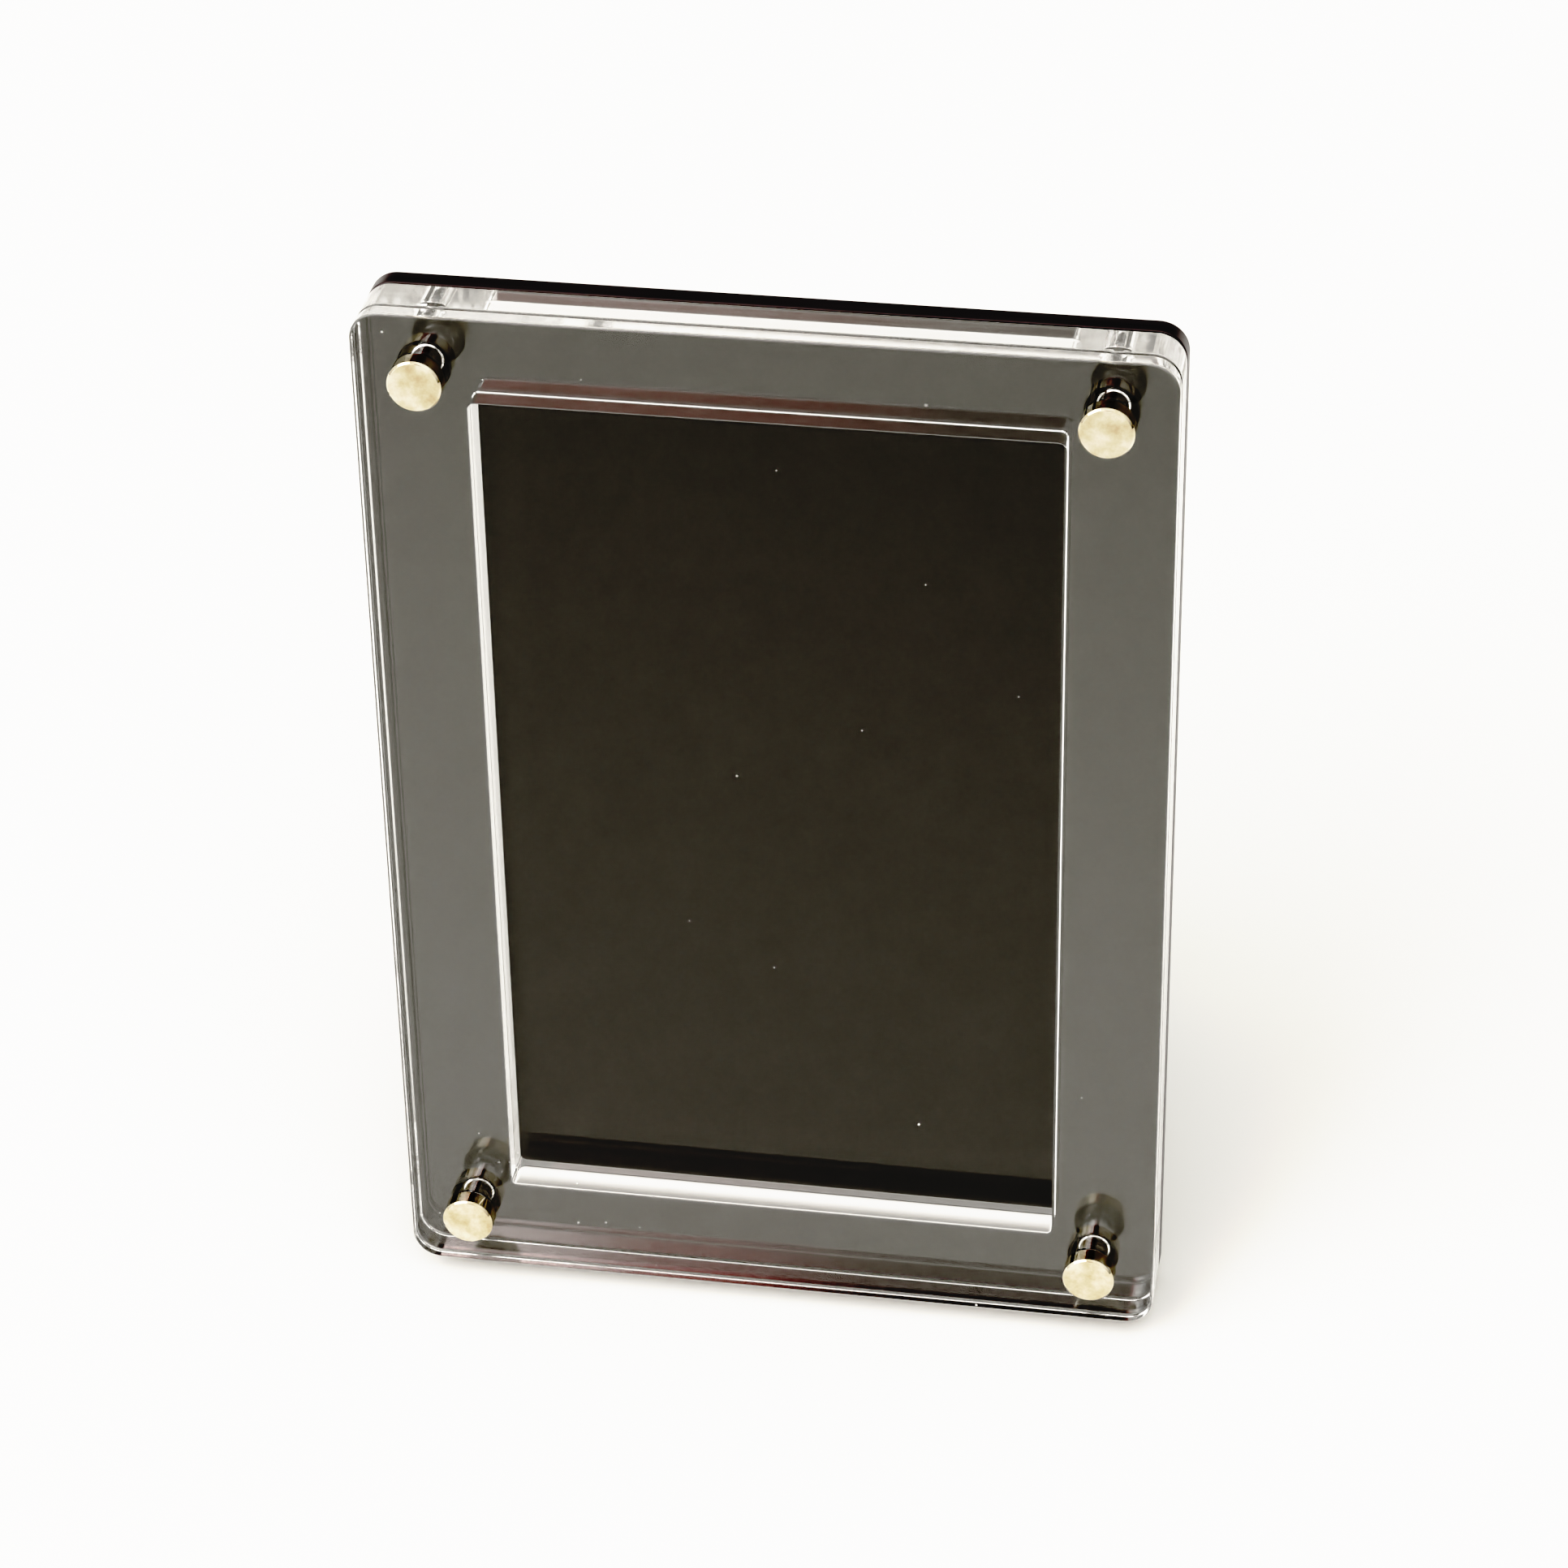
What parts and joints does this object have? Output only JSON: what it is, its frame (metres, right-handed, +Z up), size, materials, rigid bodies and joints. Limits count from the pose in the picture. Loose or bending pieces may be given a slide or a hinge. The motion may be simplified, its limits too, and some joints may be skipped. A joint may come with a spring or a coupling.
{
  "type": "display frame",
  "caption": "Upright clear acrylic display frame with a recessed window, a black back plate, capped corner screws and a fold-out rear leg.",
  "frame": {"origin": "on the table under the centre of the standing frame's bounding box", "axes": "+Z up; the window faces -Y and leans back 15 degrees; +X is to the right as seen from the front"},
  "size_m": [0.1, 0.0644, 0.1405],
  "materials": {
    "clear_acrylic": "clear, polished faces and edges",
    "black_acrylic": "opaque gloss",
    "chrome": "mirror polish, turned face",
    "steel": "satin",
    "foot_rubber": "matt"
  },
  "bodies": {
    "frame": {"window_block": "clear_acrylic", "back_plate": "black_acrylic", "screw_top_left": "steel", "screw_top_right": "steel", "screw_bottom_left": "steel", "screw_bottom_right": "steel", "hinge_fixed_leaf": "steel", "hinge_pin": "steel", "hinge_screw_plate_left": "steel", "hinge_screw_plate_right": "steel"},
    "cover": {"front_cover": "clear_acrylic"},
    "top_left_knob": {"knob_top_left": "chrome"},
    "top_right_knob": {"knob_top_right": "chrome"},
    "bottom_left_knob": {"knob_bottom_left": "chrome"},
    "bottom_right_knob": {"knob_bottom_right": "chrome"},
    "leg": {"leg_panel": "black_acrylic", "leg_foot": "foot_rubber", "hinge_leg_leaf": "steel", "hinge_screw_leg_left": "steel", "hinge_screw_leg_right": "steel"}
  },
  "joints": [
    {"name": "cover_lift", "type": "slide", "parent": "frame", "child": "cover", "axis": [0, -0.9659, 0.2588], "range_m": [0, 0.02]},
    {"name": "knob_top_left_turn", "type": "hinge", "parent": "cover", "child": "top_left_knob", "pos_m": [-0.0417, 0.00355, 0.13254], "axis": [0, -0.9659, 0.2588], "continuous": true},
    {"name": "knob_top_right_turn", "type": "hinge", "parent": "cover", "child": "top_right_knob", "pos_m": [0.0417, 0.00355, 0.13254], "axis": [0, -0.9659, 0.2588], "continuous": true},
    {"name": "knob_bottom_left_turn", "type": "hinge", "parent": "cover", "child": "bottom_left_knob", "pos_m": [-0.0417, -0.02903, 0.01093], "axis": [0, -0.9659, 0.2588], "continuous": true},
    {"name": "knob_bottom_right_turn", "type": "hinge", "parent": "cover", "child": "bottom_right_knob", "pos_m": [0.0417, -0.02903, 0.01093], "axis": [0, -0.9659, 0.2588], "continuous": true},
    {"name": "leg_fold", "type": "hinge", "parent": "frame", "child": "leg", "pos_m": [0, 0.00454, 0.08445], "axis": [1, 0, 0], "range_deg": [-30, 0]}
  ]
}
